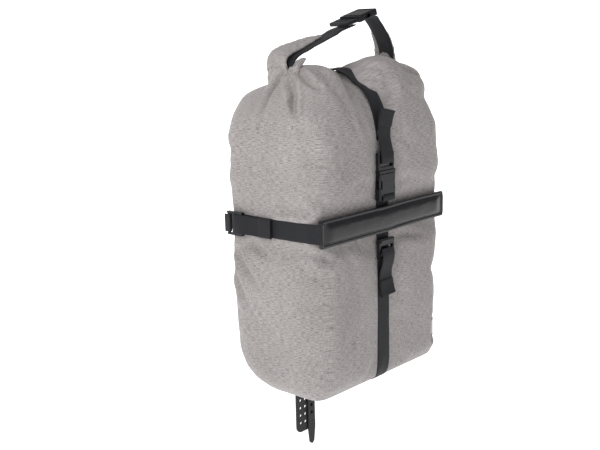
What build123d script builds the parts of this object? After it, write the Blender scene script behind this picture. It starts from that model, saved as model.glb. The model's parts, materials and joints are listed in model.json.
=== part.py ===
from build123d import *
import math
import os

# Roll-top bicycle pannier. +Z is up, +X runs across the bag, the outer face looks to -Y and the
# rack side to +Y. The origin is on the axis of the rack rail, midway between the two rail loops.

# ---- driving dimensions, millimetres ----
body_width = 270.0          # across, just above and below the compression strap
body_depth = 148.0          # rack side to outer face
base_drop = 240.0           # rail axis down to the base
roll_rise = 170.0           # rail axis up to the axis of the roll
strap_drop = 20.0           # rail axis down to the middle of the compression strap
wall = 1.2                  # laminated fabric
gap = 0.3                   # between pieces of different bodies
seam_gap = 0.2              # between sewn layers

rail_radius = 6.0           # rack rail, 12 mm tube
rail_loop_x = 72.0          # loops either side of the middle
rail_web_width = 38.0
rail_web = 1.9
web_width = 25.0            # 25 mm webbing
web = 1.6

panel_thick = 2.0
base_thick = 1.0
panel_top = 13.0
panel_corner = 62.0
band_height = 38.0
band_thick = 1.5
front_corner = 18.0         # vertical edges beside the outer face
back_corner = 13.0          # vertical edges beside the rack side
shell_back = -15.0          # outer surface of the shell on the rack side

bar_height = 34.0
bar_thick = 9.0
bar_inset = 4.0             # the bar stops short of the bag's widest

roll_radius = 14.0
roll_turns = 6.0            # fabric layers round the core
roll_flat = 4.0             # half the flat between the roll's two round edges
lobe_radius = 24.0
lobe_notch = 15.0           # from the middle to the lobe's inner end
roll_length = 236.0
roll_y = -88.0
handle_rise = 71.0          # roll axis up to the handle's buckle
handle_tilt = 15.0          # the handle's buckle climbs to +X
arm_width = 38.0
arm_thick = 9.0

lock_side = 3.5             # ladder lock, from the webbing's edge to its own
lock_length = 28.0
lock_thick = 4.6
lock_bar = 2.0              # radius of a ladder lock's round end bar

buckle_side = 4.5           # buckle, from the webbing's edge to its own
buckle_thick = 9.6
female_length = 34.0
male_length = 28.0
prong_length = 20.0
foot_slot = 5.6             # foot of the female half to the middle of its webbing slot

ring_wire = 1.7             # radius
ring_inner = 41.0
ring_height = 20.0          # between the middles of its long bars

tab_width = 38.0            # perforated rubber strap
tab_length = 100.0
tab_thick = 2.6
tongue_width = 15.0
tongue_length = 125.0
hole_pitch = 12.0
hole_radius = 2.6

cord_radius = 1.5

# ---- places worked out from them ----
half_width = body_width / 2
bar_length = body_width - 2 * bar_inset
lock_width = web_width + 2 * lock_side
buckle_width = web_width + 2 * buckle_side
shell_front = shell_back - body_depth
cinch_half = half_width - 1.0
base_z = -base_drop
strap_z = -strap_drop
panel_y = shell_back + seam_gap
band_y = panel_y + panel_thick + seam_gap
root_y = band_y + band_thick + seam_gap
shell_mid = (shell_back + shell_front) / 2
shell_top = roll_rise - roll_radius - 2.0
front_web = shell_front - seam_gap - web / 2
front_web_face = shell_front - seam_gap - web
bar_y = front_web_face - seam_gap - bar_thick / 2
buckle_y = front_web_face - gap - buckle_thick / 2


def save(node, shape):
    """Writes one sub-part."""
    solids = shape.solids()
    part = solids[0] if len(solids) == 1 else Compound(children=list(solids))
    export_step(part, "parts/" + node + ".step")


def block(size, centre, round_by=0.0, axis=None):
    """Box by its size and centre, its edges along one axis rounded."""
    shape = Pos(*centre) * Box(*size)
    if round_by > 0:
        edges = shape.edges().filter_by(axis) if axis else shape.edges()
        shape = fillet(edges, round_by)
    return shape


def band(points, thick, width, plane, middle=0.0, radius=None):
    """Flat strap: a route in a plane, thickened by thick and width wide across the plane."""
    if radius:
        route = FilletPolyline(*points, radius=radius)
    else:
        route = Polyline(*points)
    face = trace(route, thick)
    solid = extrude(face, amount=width / 2, both=True)
    return plane * (Pos(0, 0, middle) * solid)


def mirrored(shape):
    """The same piece on the other side of the bag."""
    return mirror(shape, about=Plane.YZ)


# ---- shell of the bag ----
def levels():
    """Height, half width, back, front and corner radius of the shell's sections."""
    cinch = band_height / 2
    return [
        (base_z, half_width - 9, shell_back - 5, shell_front + 6, front_corner),
        (base_z + 12, half_width - 2.5, shell_back, shell_front + 1.5, front_corner + 2),
        (base_z + 90, half_width - 0.5, shell_back, shell_front, front_corner + 2),
        (strap_z - cinch, cinch_half, shell_back, shell_front, front_corner),
        (strap_z + cinch, cinch_half, shell_back, shell_front, front_corner),
        (roll_rise - 76, half_width, shell_back, shell_front, front_corner + 6),
        (roll_rise - 42, half_width - 6, shell_back - 5, shell_front + 7, front_corner + 14),
        (roll_rise - 24, half_width - 14, shell_back - 18, shell_front + 22, front_corner + 12),
        (shell_top, half_width - 20, roll_y + 30, roll_y - 32, 16),
    ]


def section(level, inset, shift):
    """One section of the shell, pulled in by inset and moved up by shift."""
    height, half, back, front, corner = level
    outline = Rectangle(2 * (half - inset), back - front - 2 * inset)
    rows = outline.vertices().group_by(Axis.Y)
    outline = fillet(rows[0], corner - inset)
    outline = fillet(outline.vertices().group_by(Axis.Y)[-1], back_corner - inset)
    return Plane((0, (back + front) / 2, height + shift)) * outline


def shell_loft(inset):
    """Closed solid through all the sections."""
    rows = levels()
    last = len(rows) - 1
    shifts = [inset if i == 0 else -inset if i == last else 0.0 for i in range(len(rows))]
    sections = [section(row, inset, shift) for row, shift in zip(rows, shifts)]
    return loft(sections, ruled=True)


def lobe():
    """Fullness of the outer wall beside the closure strap, level with the roll."""
    length = half_width - 36 - lobe_notch
    y = roll_y - roll_radius - 4 - lobe_radius - 3
    core = Rotation(0, 90, 0) * Cylinder(lobe_radius, length - 2 * lobe_radius)
    ends = Pos(length / 2 - lobe_radius, 0, 0) * Sphere(lobe_radius)
    ends += Pos(lobe_radius - length / 2, 0, 0) * Sphere(lobe_radius)
    return Pos(lobe_notch + length / 2, y, shell_top - 3) * (core + ends)


def bag_shell():
    outer = shell_loft(0.0) + lobe() + mirrored(lobe())
    return outer - shell_loft(wall)


def base_panel():
    """Wear panel under the base, inside the outline of the lowest section."""
    return extrude(section(levels()[0], 3.0, -seam_gap - base_thick), amount=base_thick)


def panel_outline(width, top, bottom, corner):
    """Rack-side panel: square at the top, strongly rounded at the two lower corners."""
    outline = Pos(0, (top + bottom) / 2) * Rectangle(width, top - bottom)
    low = outline.vertices().group_by(Axis.Y)[0]
    return fillet(low, corner)


def back_sheet(width, top, bottom, corner, y_from, thick):
    face = panel_outline(width, top, bottom, corner)
    return extrude(Plane((0, y_from, 0), x_dir=(-1, 0, 0), z_dir=(0, 1, 0)) * face, amount=thick)


def back_panel():
    width = 2 * half_width - 18
    return back_sheet(width, panel_top - 8.3, base_z + 14, panel_corner, panel_y, panel_thick)


def frame_sheet():
    """Plastic stiffener inside the shell, flat against its rack side."""
    thick = 1.5
    width = 2 * half_width - 60
    y_from = shell_back - wall - seam_gap - thick
    return back_sheet(width, panel_top - 10, base_z + 24, panel_corner - 20, y_from, thick)


def top_edge_strip():
    """Textured strip sewn along the top edge of the panel."""
    return block((2 * half_width - 18, 2.4, 8.0), (0, panel_y + 1.2, panel_top - 4.0))


def top_band():
    """Webbing band across the rack side, level with the compression strap."""
    width = 2 * half_width - 20
    return block((width, band_thick, band_height - 3.5), (0, band_y + band_thick / 2, strap_z - 1.0))


# ---- closure: roll, strips, strap ----
def roll():
    """Rolled mouth: a hollow flattened bar along X."""
    outer = Plane.YZ * SlotOverall(2 * (roll_radius + roll_flat), 2 * roll_radius)
    core = roll_radius - roll_turns
    inner = Plane.YZ * SlotOverall(2 * (core + roll_flat), 2 * core)
    tube = extrude(outer, amount=roll_length / 2, both=True)
    tube -= extrude(inner, amount=roll_length / 2 - roll_turns, both=True)
    return Pos(0, roll_y, roll_rise) * tube


def mouth_strips():
    """Two stiff strips at the lips of the mouth, in the middle of the roll."""
    size = (roll_length - 24, 12.0, 1.6)
    low = block(size, (0, roll_y, roll_rise - 1.4))
    return low + block(size, (0, roll_y, roll_rise + 1.4))


def hug(points, lift):
    """A (y, z) route that keeps lift off a profile, on its right-hand side, with mitred corners."""
    route = []
    for i, (y, z) in enumerate(points):
        before = points[max(i - 1, 0)]
        after = points[min(i + 1, len(points) - 1)]
        one = Vector(y - before[0], z - before[1]) if i else Vector(after[0] - y, after[1] - z)
        two = Vector(after[0] - y, after[1] - z) if i < len(points) - 1 else one
        normal = Vector(one.Y, -one.X).normalized() + Vector(two.Y, -two.X).normalized()
        normal = normal.normalized()
        reach = lift / normal.dot(Vector(one.Y, -one.X).normalized())
        route.append((y + normal.X * reach, z + normal.Y * reach))
    return route


def over_the_roll():
    """Flat faces tangent to the roll's round edge, from its side to its top, as (y, z) from its middle."""
    corner = roll_radius / math.cos(math.radians(15))
    angles = [math.radians(degrees) for degrees in (15, 45, 75)]
    return [(roll_flat + corner * math.cos(a), corner * math.sin(a)) for a in angles]


def closure_route():
    """Route from the rack side over the roll to behind the male buckle, as (y, z)."""
    rows = levels()
    lift = web / 2 + 0.4
    start = roll_rise - 52
    share = (start - rows[5][0]) / (rows[6][0] - rows[5][0])
    profile = [(rows[5][2] + share * (rows[6][2] - rows[5][2]), start)]
    profile += [(row[2], row[0]) for row in rows[6:9]]
    profile += [(roll_y + y, roll_rise + z) for y, z in over_the_roll()]
    profile += [(roll_y - y, roll_rise + z) for y, z in reversed(over_the_roll())]
    profile += [(row[3], row[0]) for row in reversed(rows[5:9])]
    profile += [(shell_front, buckle_base + female_length + 6.0)]
    return hug(profile, lift)


def closure_strap():
    return band(closure_route(), web, web_width, Plane.YZ)


def closure_anchor():
    """Sewn patch at the foot of the closure strap on the rack side."""
    top = closure_route()[0]
    return block((34, 1.4, 22), (0, shell_back + 1.6, top[1] - 13))


# ---- side-release buckle, standing along +Z, its outer face to -Y ----
def buckle_female():
    """Housing: webbing slot at the foot, cavity open at the top, a window in each side."""
    body = block((buckle_width, buckle_thick, female_length), (0, 0, female_length / 2), 2.2, Axis.Z)
    cavity = Pos(0, 0, female_length / 2 + 6.0) * Box(29.4, 5.4, female_length - 12 + 0.02)
    window = Pos(0, 0, 20.5) * extrude(Plane.YZ * SlotOverall(12.0, 5.2, rotation=90), amount=20, both=True)
    slot = Pos(0, 0, foot_slot) * Box(web_width + 1.6, 20, 4.2)
    thumb = Pos(0, -buckle_thick / 2, 20.5) * Box(40, 3.0, 11.0)
    inside = Pos(0, -buckle_thick / 2, 20.5) * Box(24.0, 4.0, 12.0)
    return body - cavity - window - slot - (thumb - inside)


def buckle_male():
    """Frame with two ladder slots for the webbing and a guide rib between the prongs."""
    neck = female_length + gap
    body = block((buckle_width, 5.2, male_length), (0, 0, neck + male_length / 2), 1.6, Axis.Z)
    for height in (11.0, 20.5):
        body -= Pos(0, 0, neck + height) * Box(web_width + 1.6, 20, 4.6)
    collar = block((buckle_width, 8.4, 5.0), (0, 0, neck + 2.5), 1.0, Axis.X)
    rib = Pos(0, 0, neck - 9.6) * Box(5.0, 4.2, 19.4)
    return body + collar + rib


def buckle_prong(side):
    """Springy arm beside the rib, its bowed outer edge showing in the window."""
    top = female_length + gap - 0.6
    low = top - prong_length
    outline = Polyline(
        (9.4, top), (13.0, top), (13.3, top - 6), (14.1, top - 10), (14.1, low + 4), (12.4, low),
        (9.4, low + 3), (10.2, top - 8), (9.4, top),
    )
    arm = extrude(Plane.XZ * make_face(outline), amount=2.1, both=True)
    return arm if side > 0 else mirrored(arm)


buckle_base = strap_z + bar_height / 2 + 9.0


def closure_place():
    return Pos(0, buckle_y, buckle_base)


def closure_tail():
    """Folded end of the closure strap: round the ladder's upper bar, then up over its front."""
    high = buckle_base + female_length + gap + 15.8
    face = buckle_y - 2.6 - gap - web / 2
    tail = band([(face, high - 1.2), (face, high + 64)], web, web_width, Plane.YZ)
    fold = block((web_width, 3.6, 16), (0, face - 0.2, high + 71))
    return tail + fold


# ---- ladder lock: lies in XZ, hinged on its round bar at the origin, reaching to +Z ----
def ladder_lock():
    """Frame with a round hinge bar, two cross bars and a pull lip."""
    frame = block((lock_width, lock_thick, lock_length), (0, 0, lock_length / 2 - lock_bar), 1.2, Axis.Y)
    side_bar = (lock_width - web_width - 1.4) / 2
    window = lock_width - 2 * side_bar
    frame -= Pos(0, 0, lock_bar + 3.0) * Box(window, 20, 6.0)
    frame -= Pos(0, 0, -lock_bar) * Box(window, 20, 4.0 + 2 * lock_bar)
    frame -= Pos(0, 0, lock_bar + 12.6) * Box(window, 20, 4.6)
    bar = extrude(Plane.YZ * Circle(lock_bar), amount=lock_width / 2 - 0.6, both=True)
    lip = block((lock_width - 4, 2.4, 4.0), (0, -lock_thick / 2 - 0.6, lock_length - 5.0), 0.8, Axis.X)
    return frame + bar + lip


def web_loop(length, inner, thick, width):
    """Webbing folded round a bar at the origin, both layers running to -Z (as y, z)."""
    mid = inner + thick / 2
    arch = ThreePointArc((mid, 0), (0, mid), (-mid, 0))
    legs = trace(Line((mid, 0), (mid, -length)), thick) + trace(Line((-mid, 0), (-mid, -4.5)), thick)
    return Plane.YZ * extrude(trace(arch, thick) + legs, amount=width / 2, both=True)


lower_lock_z = strap_z - bar_height / 2 - 36.0
lower_lock_y = front_web_face - gap - lock_thick / 2 - 2.2


def lower_lock_place():
    return Pos(0, lower_lock_y, lower_lock_z)


def lower_ladder_lock():
    return lower_lock_place() * ladder_lock()


def link_strap():
    """Folded through the slot at the female buckle's foot, behind the bar, to behind the lower lock."""
    y_front = buckle_y - buckle_thick / 2 - gap - web / 2
    slot = buckle_base + foot_slot
    points = [(y_front, slot - 7), (y_front, slot), (front_web, slot), (front_web, lower_lock_z + 8)]
    return band(points, web, web_width, Plane.YZ)


def link_tail():
    """End of the link strap: out of the ladder lock and down over its front."""
    face = -lock_thick / 2 - 0.3 - web / 2
    strip = band([(face, 13.0), (face - 1.9, 4.0), (face - 1.9, -40.0)], web, web_width, Plane.YZ)
    fold = block((web_width, 3.4, 14.0), (0, face - 1.9 - 0.1, -46.0))
    return lower_lock_place() * (strip + fold)


def base_strap():
    """From a fold round the lock's hinge bar down the outer face and under the base."""
    rows = levels()
    lift = web / 2 + 0.5
    hinge_y = lower_lock_y
    points = [
        (hinge_y + 2.9, lower_lock_z - 3.0),
        (front_web, lower_lock_z - 16),
        (front_web, rows[2][0] + 1),
        (rows[1][3] - lift - 0.4, rows[1][0] - 1),
        (rows[0][3] - lift - 1.2, base_z - 2.0),
        (rows[0][3] + 6, base_z - 1.5 - lift),
        (rows[0][2] - 26, base_z - 1.5 - lift),
    ]
    strap = band(points, web, web_width, Plane.YZ)
    fold = Pos(0, hinge_y, lower_lock_z) * web_loop(3.0, lock_bar + gap, 1.2, web_width - 1.0)
    return strap + fold


# ---- compression bar across the outer face ----
def bar_sleeve():
    """Coated sleeve, hollow for its stay."""
    outer = Plane.YZ * RectangleRounded(bar_thick, bar_height, 4.2)
    inner = Plane.YZ * RectangleRounded(bar_thick - 4, bar_height - 8, 2.0)
    tube = extrude(outer, amount=bar_length / 2, both=True)
    tube -= extrude(inner, amount=bar_length / 2 - 2, both=True)
    return Pos(0, bar_y, strap_z) * tube


def bar_bindings():
    """Binding tape along the sleeve's upper and lower edges."""
    tape = block((bar_length, bar_thick - 1.0, 1.2), (0, bar_y, strap_z + bar_height / 2 + 0.8))
    return tape + block((bar_length, bar_thick - 1.0, 1.2), (0, bar_y, strap_z - bar_height / 2 - 0.8))


def bar_stay():
    """Flat fibre strip inside the sleeve."""
    return block((bar_length - 8, 3.2, bar_height - 12), (0, bar_y, strap_z), 1.0, Axis.X)


# ---- side straps, modelled on the -X side and mirrored ----
side_x = -(cinch_half + seam_gap + web / 2)
lock_y = shell_back - 2.0
lock_x = side_x - web / 2 - gap - lock_thick / 2 - 2.4


def side_strap():
    """From the end of the bar, round the corner and along the side to behind the lock."""
    points = [
        (-bar_length / 2 - 0.5 - web / 2, bar_y - 2.0),
        (-bar_length / 2 - 0.8 - web / 2, bar_y + bar_thick / 2 + 2),
        (side_x, shell_front + 0.55 * front_corner),
        (side_x, lock_y - 10.0),
    ]
    return band(points, web, web_width, Plane.XY, strap_z)


def side_lock():
    place = Plane(origin=(lock_x, lock_y, strap_z), x_dir=(0, 0, 1), z_dir=(0, -1, 0))
    return place * ladder_lock()


def side_tail():
    """End of the side strap: out of the lock and forwards over the strap."""
    face = lock_x - lock_thick / 2 - 0.3 - web / 2
    strip = band(
        [(face, lock_y - 13.0), (face - 1.9, lock_y - lock_length + 2), (face - 1.9, lock_y - 66)],
        web, web_width, Plane.XY, strap_z)
    fold = block((3.4, 8.0, web_width), (face - 2.0, lock_y - 70, strap_z))
    return strip + fold


def side_anchor():
    """Webbing folded round the lock's hinge bar and sewn round the corner to the back band."""
    thick = 1.2
    mid = lock_bar + gap + thick / 2
    arch = ThreePointArc((lock_x + mid, lock_y), (lock_x, lock_y - mid), (lock_x - mid, lock_y))
    points = [
        (lock_x + mid, lock_y),
        (lock_x + mid, lock_y + 4.0),
        (lock_x + mid + 3.0, band_y + 3.2),
        (-half_width + 12.0, band_y + band_thick + 1.4),
        (-half_width + 34.0, band_y + band_thick + 0.9),
    ]
    end = Polyline((lock_x - mid, lock_y), (lock_x - mid, lock_y + 5.0))
    face = trace(arch, thick) + trace(Polyline(*points), thick) + trace(end, thick)
    return Pos(0, 0, strap_z) * extrude(face, amount=(web_width - 1) / 2, both=True)


# ---- rack side: rail loops and wire rings, modelled at x = 0 ----
keeper_thick = 1.3
ring_y = root_y + rail_web + seam_gap + keeper_thick + gap + ring_wire
ring_z = -15.5
peel_y = root_y + 1.4
peel_z = strap_z - band_height / 2 - 1.3


def rail_loop():
    """Strap sewn to the band, over the rail and down through the ring."""
    mid = rail_radius + rail_web / 2
    root = root_y + rail_web / 2
    arch = ThreePointArc((-mid, 0), (0, mid), (mid, 0))
    back = Polyline((-mid, 0), (-mid, -5), (root, -13), (root, -33))
    front = Polyline((mid, 0), (mid, -3), (ring_y - 3.3, ring_z - ring_height), (peel_y + 0.2, peel_z + 0.8))
    face = trace(arch, rail_web) + trace(back, rail_web) + trace(front, rail_web)
    return Plane.YZ * extrude(face, amount=rail_web_width / 2, both=True)


def ring():
    """Wire ring of rounded rectangular outline, hanging from its upper bar."""
    width = ring_inner + 2 * ring_wire
    frame = Plane.XZ * RectangleRounded(width, ring_height, 5.0)
    wire = frame.face().outer_wire()
    start = wire @ 0
    tangent = wire % 0
    profile = Plane(origin=start, z_dir=tangent) * Circle(ring_wire)
    return Pos(0, ring_y, ring_z - ring_height / 2) * sweep(profile, path=wire)


def ring_keeper():
    """Tape folded round the ring's upper bar and sewn to the rail loop's root."""
    inner = ring_wire + gap
    thick = keeper_thick
    mid = inner + thick / 2
    arch = ThreePointArc((-mid, 0), (0, mid), (mid, 0))
    under = ThreePointArc((mid, 0), (mid * 0.7071, -mid * 0.7071), (0, -mid))
    leg = Line((-mid, 0), (-mid, -13.5))
    face = trace(arch, thick) + trace(under, thick) + trace(leg, thick)
    return Pos(0, ring_y, ring_z) * (Plane.YZ * extrude(face, amount=15, both=True))


def rail_tail():
    """Free end of the rail strap: pressed on the loop patch, with a doubled grab end."""
    y_mid = band_y + 1.2 + gap + 0.1 + rail_web / 2
    strip = block((rail_web_width, rail_web, 122), (0, y_mid, peel_z - 61.4))
    grab = block((rail_web_width, 4.0, 18), (0, y_mid + 1.05, peel_z - 131.4))
    return strip + grab


def loop_patch():
    """Loop tape sewn on the panel under the strap's free end."""
    return block((rail_web_width + 8, 1.2, 152), (0, band_y + 0.6, peel_z - 77))


# ---- under the bag ----
flap_low = base_z - 24.0


def anchor_flap():
    """Wedge of coated fabric hanging from the foot of the rack side."""
    high = base_z + 30
    outline = Polyline((-26, high), (26, high), (20, flap_low), (-20, flap_low), (-26, high))
    plane = Plane((0, band_y, 0), x_dir=(1, 0, 0), z_dir=(0, -1, 0))
    wedge = extrude(plane * make_face(outline), amount=-band_thick)
    return wedge


tab_top = flap_low - 1.0
tab_y = band_y - 2.0


def hole_field(columns, rows, first, thick):
    """Cylinders through a strap in the XZ plane, columns by rows, below the first height."""
    holes = [
        Pos(x, tab_y, first - row * hole_pitch) * Rotation(90, 0, 0) * Cylinder(hole_radius, thick)
        for x in columns for row in range(rows)
    ]
    return holes


def perforated_strap():
    """Wide rubber strap with two columns of holes, its free edge cut square."""
    middle = tab_top - tab_length / 2
    strap = block((tab_width, tab_thick, tab_length), (0, tab_y, middle), 9.0, Axis.Y)
    for hole in hole_field((-10.0, 0.0), 7, tab_top - 14, 20):
        strap -= hole
    return strap


def strap_tongue():
    """Narrow rubber tongue lying on the strap's outer face, tapered to a round tip."""
    outline = Polyline(
        (tongue_width / 2, 0), (tongue_width / 2, -tongue_length + 28), (4.6, -tongue_length + 5),
        (0, -tongue_length), (-4.6, -tongue_length + 5), (-tongue_width / 2, -tongue_length + 28),
        (-tongue_width / 2, 0), (tongue_width / 2, 0),
    )
    face = make_face(outline)
    tip = face.vertices().sort_by(Axis.Y)[0:3]
    face = fillet(tip, 3.4)
    plane = Plane((11.0, tab_y - tab_thick / 2 - seam_gap, tab_top - 1.0), x_dir=(1, 0, 0), z_dir=(0, -1, 0))
    tongue = extrude(plane * face, amount=2.2)
    for hole in hole_field((11.0,), 6, tab_top - 14, 20):
        tongue -= hole
    return tongue


# ---- elastic cord and its lock ----
cord_y = -3.5
lock_cord_x = 49.5
lock_mid_z = flap_low - 14.0
cord_points = [
    (24.0, cord_y - 5.2, flap_low + 9.0),
    (29.5, cord_y - 4.6, flap_low + 1.0),
    (29.5, cord_y - 3.0, flap_low - 10.0),
    (25.0, cord_y - 0.5, flap_low - 22.0),
    (25.5, cord_y + 1, flap_low - 36.0),
    (36.0, cord_y + 1, flap_low - 46.0),
    (48.0, cord_y, flap_low - 42.0),
    (51.5, cord_y, flap_low - 28.0),
    (49.2, cord_y, flap_low - 14.0),
    (49.5, cord_y, flap_low - 1.0),
    (55.0, cord_y, flap_low + 10.0),
    (67.0, cord_y + 0.5, flap_low + 13.0),
    (77.0, cord_y + 1, flap_low + 4.0),
    (81.0, cord_y + 1, flap_low - 10.0),
    (89.0, cord_y, flap_low - 24.0),
]


def cord_radii(points):
    """Arc at each corner: 0.45 of the shorter run over the tangent of half the turn."""
    radii = []
    for a, b, c in zip(points, points[1:], points[2:]):
        one, two = Vector(*b) - Vector(*a), Vector(*c) - Vector(*b)
        turn = math.radians(one.get_angle(two))
        radii.append(0.45 * min(one.length, two.length) / math.tan(turn / 2))
    return radii


def anchor_cord():
    """Elastic cord: out beside the flap, round its loop, up through the lock and down to its cut end."""
    radii = cord_radii(cord_points)
    print("cord radii", [round(r, 1) for r in radii])
    route = FilletPolyline(*cord_points, radius=radii)
    profile = Plane(origin=route @ 0, z_dir=route % 0) * Circle(cord_radius)
    tube = sweep(profile, path=route)
    print("cord length", round(route.length, 1), "volume ratio",
          round(tube.volume / (math.pi * cord_radius ** 2 * route.length), 3))
    return tube


lock_barrel = 6.5
barrel_length = 20.0
barrel_end = 1.3            # closed end of the barrel
button_radius = 4.6
button_travel = 3.0
spring_length = 2.3
stem_end = barrel_end - barrel_length / 2 + button_travel + spring_length + 2 * gap


def cord_lock_body():
    """Barrel along X, open at its +X end, with a cross hole for the cord."""
    place = Pos(lock_cord_x, cord_y, lock_mid_z)
    barrel = Rotation(0, 90, 0) * Cylinder(lock_barrel, barrel_length)
    barrel = fillet(barrel.edges().group_by(Axis.X)[0], 1.2)
    barrel -= Pos(barrel_end, 0, 0) * Rotation(0, 90, 0) * Cylinder(button_radius + gap, barrel_length)
    barrel -= Cylinder(cord_radius + 1.4, 40)
    return place * barrel


def cord_lock_button():
    """Plunger with a slot for the cord; it springs out to +X."""
    cap_thick = 3.0
    face = barrel_length / 2 + button_travel + 1.0
    stem_length = face + cap_thick / 2 - stem_end
    stem = Pos(stem_end + stem_length / 2, 0, 0) * Rotation(0, 90, 0) * Cylinder(button_radius, stem_length)
    cap = Pos(face + cap_thick / 2, 0, 0) * Rotation(0, 90, 0) * Cylinder(button_radius + 0.8, cap_thick)
    slot_length = 2 * cord_radius + 2.4 + button_travel
    slot = Pos(button_travel / 2, 0, 0) * Box(slot_length, 2 * cord_radius + 1.6, 40)
    return Pos(lock_cord_x, cord_y, lock_mid_z) * (stem + cap - slot)


def cord_lock_spring():
    """Coil on the plunger's inner end, as a short sleeve at its compressed length."""
    ring_shape = Circle(2.6) - Circle(1.8)
    plane = Plane((0, 0, 0), x_dir=(0, 1, 0), z_dir=(1, 0, 0))
    coil = extrude(plane * ring_shape, amount=spring_length)
    return Pos(lock_cord_x + stem_end - spring_length - 0.1, cord_y, lock_mid_z) * coil


# ---- carry handle: the roll's two ends bent up and clipped together ----
handle_z = roll_rise + handle_rise
handle_mid_x = 36.0


def along_handle(distance, drop=0.0):
    """Point (x, z) on the straight run of the handle, from where its buckle's halves meet."""
    tilt = math.radians(handle_tilt)
    dx, dz = math.cos(tilt), math.sin(tilt)
    return handle_mid_x + distance * dx + drop * dz, handle_z + distance * dz - drop * dx


def arm_route(side):
    """Middle line of one fabric arm, as (x, z), from the end of the roll inwards."""
    end_x = roll_length / 2 + seam_gap + 3 + arm_thick / 2
    top = handle_rise
    if side < 0:
        tail = [(17 - end_x, top - 42), (-66, top - 31), (-32, top - 22)]
    else:
        tail = [(end_x - 14, top - 30), (end_x - 28, top - 11), (end_x - 38, top - 1)]
    route = [(side * end_x, -6.0), (side * (end_x - 1), 20.0)] + tail
    return [(x, roll_rise + z) for x, z in route]


handle_plane = Plane((0, roll_y, 0), x_dir=(1, 0, 0), z_dir=(0, -1, 0))


def handle_arm(side):
    """Flattened end of the roll, bent up and inwards."""
    return band(arm_route(side), arm_thick, arm_width, handle_plane, 0.0, 9.0)


def handle_web(side):
    """Webbing along the inside of an arm and on under the buckle."""
    drop = buckle_thick / 2 + gap + web / 2
    inset = arm_thick / 2 + web / 2 + 2.2
    route = arm_route(side)
    if side < 0:
        start = [(route[1][0] + inset + 6, roll_rise + roll_radius + 3)]
        middle = [(route[3][0] + 2, route[3][1] - inset), (route[4][0] + 4, route[4][1] - inset + 1)]
        end = [along_handle(-male_length - 10, drop), along_handle(-9.0, drop)]
    else:
        start = [(route[1][0] - inset - 1, roll_rise + roll_radius + 3)]
        middle = [(route[2][0] - inset, route[2][1] - 3)]
        end = [along_handle(female_length + 5, drop + 1.5), along_handle(female_length - 3.0, drop)]
    return band(start + middle + end, web, web_width, handle_plane)


def handle_buckle_place():
    """The buckle lies along the handle, female half to +X, male half to -X, its face up."""
    tilt = math.radians(handle_tilt)
    centre = along_handle(0.0)
    away = (-math.cos(tilt), 0, -math.sin(tilt))
    plane = Plane(origin=(centre[0], roll_y, centre[1]), x_dir=(0, -1, 0), z_dir=away)
    return plane.location * Pos(0, 0, -female_length)


def reflective_patch():
    """Small plain patch round the lower corner of the outer face."""
    lower, upper = levels()[1], levels()[2]
    height = base_z + 37
    share = (height - lower[0]) / (upper[0] - lower[0])
    half, front, corner = (lower[i] + share * (upper[i] - lower[i]) for i in (1, 3, 4))
    radius = corner + 1.2
    angles = [math.radians(degrees) for degrees in (5, 25, 45)]
    ends = [(radius * math.sin(a), -radius * math.cos(a)) for a in angles]
    curve = extrude(trace(ThreePointArc(*ends), 0.5), amount=13, both=True)
    return Pos(half - corner, front + corner, height) * curve


def pair(node, shape, x=0.0):
    """The same piece left and right of the middle."""
    save(node + "_left", Pos(-x, 0, 0) * shape if x else shape)
    save(node + "_right", Pos(x, 0, 0) * shape if x else mirrored(shape))


os.makedirs("parts", exist_ok=True)
single_parts = [
    bag_shell, base_panel, frame_sheet, back_panel, top_edge_strip, top_band, roll, mouth_strips,
    closure_strap, closure_anchor, closure_tail, lower_ladder_lock, link_strap, link_tail, base_strap,
    bar_sleeve, bar_bindings, bar_stay, anchor_flap, perforated_strap, strap_tongue, anchor_cord,
    cord_lock_body, cord_lock_button, cord_lock_spring, reflective_patch,
]
for maker in single_parts:
    save(maker.__name__, maker())
for maker in (side_strap, side_lock, side_tail, side_anchor):
    pair(maker.__name__, maker())
for maker in (rail_loop, ring, ring_keeper, rail_tail, loop_patch):
    pair(maker.__name__, maker(), rail_loop_x)
for name, place in (("closure", closure_place()), ("handle", handle_buckle_place())):
    save(name + "_buckle_female", place * buckle_female())
    save(name + "_buckle_male", place * buckle_male())
    save(name + "_prong_left", place * buckle_prong(-1))
    save(name + "_prong_right", place * buckle_prong(1))
for name, side in (("left", -1), ("right", 1)):
    save("handle_arm_" + name, handle_arm(side))
    save("handle_web_" + name, handle_web(side))
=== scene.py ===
import bpy
import bmesh
import json
import math
from mathutils import Matrix, Vector, noise

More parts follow.
